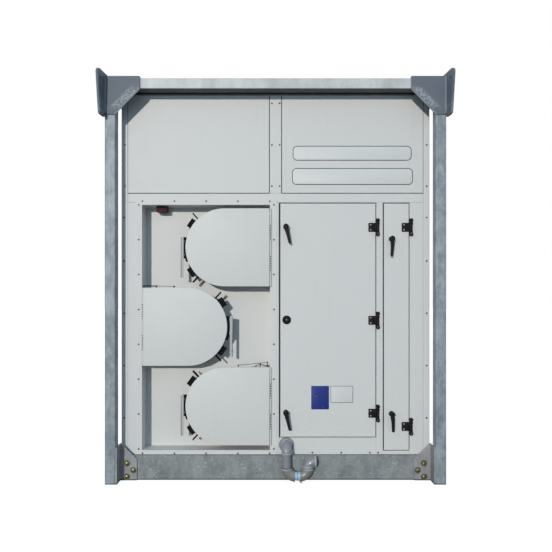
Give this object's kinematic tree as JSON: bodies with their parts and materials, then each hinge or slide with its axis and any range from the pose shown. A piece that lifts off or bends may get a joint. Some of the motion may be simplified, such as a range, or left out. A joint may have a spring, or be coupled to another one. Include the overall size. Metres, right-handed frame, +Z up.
{
  "type": "industrial air conditioner",
  "caption": "Panelled air-conditioning unit in a galvanised lifting cage, with round duct spigots behind D-shaped covers, hinged doors and a condensate trap.",
  "frame": {"origin": "on the ground at the middle of the footprint", "axes": "+X to the right seen from the front, +Y from the front to the rear, +Z up"},
  "size_m": [1.9374, 1.3922, 2.284],
  "materials": {
    "galvanised_steel": "hot-dip galvanised, matt",
    "bracket_steel": "grey paint, matt",
    "zinc_sheet": "zinc-coated sheet",
    "black_fittings": "black, satin",
    "red_paint": "dark red",
    "grey_pvc": "dark grey plastic pipe",
    "light_grey_pvc": "light grey plastic fitting",
    "beige_pvc": "grey-beige plastic fitting",
    "blue_pvc": "light blue plastic",
    "housing_paint": "warm light grey powder coat"
  },
  "bodies": {
    "unit": {"base_channels_front_rear": "galvanised_steel", "base_channels_sides": "galvanised_steel", "base_gussets": "galvanised_steel", "bay_back_lower": "housing_paint", "bay_back_middle": "housing_paint", "bay_back_upper": "housing_paint", "bay_bezel": "housing_paint", "bay_sill": "housing_paint", "bay_stile": "housing_paint", "clamp_grips": "zinc_sheet", "clamp_rings": "black_fittings", "corner_brackets": "bracket_steel", "corner_profiles": "housing_paint", "cover_hinge_leaves": "zinc_sheet", "door_hinge_lugs": "black_fittings", "door_sills": "housing_paint", "door_stiles": "housing_paint", "floor_tray": "housing_paint", "front_mullion": "housing_paint", "front_upper_panels": "housing_paint", "lifting_ears": "bracket_steel", "post_front_left": "galvanised_steel", "post_front_right": "galvanised_steel", "post_rear_left": "galvanised_steel", "post_rear_right": "galvanised_steel", "rear_intake_louvre": "zinc_sheet", "rear_intake_panel": "housing_paint", "rear_lower_panel": "housing_paint", "rear_mullion": "housing_paint", "rear_upper_panels": "housing_paint", "red_box": "red_paint", "roof": "housing_paint", "side_panels_left": "housing_paint", "side_panels_right": "housing_paint", "spigots": "zinc_sheet", "top_beams": "galvanised_steel", "transoms": "housing_paint", "trap_lower_elbows": "beige_pvc", "trap_pipes": "grey_pvc", "trap_union": "blue_pvc", "trap_upper_elbows": "light_grey_pvc"},
    "large_door": {"large_door": "housing_paint", "large_door_hinge_leaves": "black_fittings", "large_door_lock": "black_fittings"},
    "narrow_door": {"narrow_door": "housing_paint", "narrow_door_hinge_leaves": "black_fittings"},
    "cover_upper": {"cover_upper": "housing_paint"},
    "cover_middle": {"cover_middle": "housing_paint"},
    "cover_lower": {"cover_lower": "housing_paint"},
    "large_door_lower_handle": {"large_door_lower_handle": "black_fittings"},
    "large_door_upper_handle": {"large_door_upper_handle": "black_fittings"},
    "narrow_door_lower_handle": {"narrow_door_lower_handle": "black_fittings"},
    "narrow_door_upper_handle": {"narrow_door_upper_handle": "black_fittings"}
  },
  "joints": [
    {"name": "large_door_hinge", "type": "hinge", "parent": "unit", "child": "large_door", "pos_m": [0.5844, -0.512, 0.90975], "axis": [0, 0, 1], "range_deg": [0, 105]},
    {"name": "narrow_door_hinge", "type": "hinge", "parent": "unit", "child": "narrow_door", "pos_m": [0.7754, -0.512, 0.87175], "axis": [0, 0, 1], "range_deg": [0, 105]},
    {"name": "cover_upper_hinge", "type": "hinge", "parent": "unit", "child": "cover_upper", "pos_m": [-0.028, -0.508, 1.3265], "axis": [0, 0, 1], "range_deg": [0, 105]},
    {"name": "cover_middle_hinge", "type": "hinge", "parent": "unit", "child": "cover_middle", "pos_m": [-0.762, -0.508, 0.873], "axis": [0, 0, -1], "range_deg": [0, 105]},
    {"name": "cover_lower_hinge", "type": "hinge", "parent": "unit", "child": "cover_lower", "pos_m": [-0.028, -0.508, 0.4195], "axis": [0, 0, 1], "range_deg": [0, 105]},
    {"name": "large_door_upper_handle_turn", "type": "hinge", "parent": "large_door", "child": "large_door_upper_handle", "pos_m": [0.0596, -0.515, 1.445], "axis": [0, -1, 0], "range_deg": [0, 90]},
    {"name": "large_door_lower_handle_turn", "type": "hinge", "parent": "large_door", "child": "large_door_lower_handle", "pos_m": [0.0596, -0.515, 0.381], "axis": [0, -1, 0], "range_deg": [0, 90]},
    {"name": "narrow_door_upper_handle_turn", "type": "hinge", "parent": "narrow_door", "child": "narrow_door_upper_handle", "pos_m": [0.665, -0.515, 1.376], "axis": [0, -1, 0], "range_deg": [0, 90]},
    {"name": "narrow_door_lower_handle_turn", "type": "hinge", "parent": "narrow_door", "child": "narrow_door_lower_handle", "pos_m": [0.665, -0.515, 0.374], "axis": [0, -1, 0], "range_deg": [0, 90]}
  ]
}
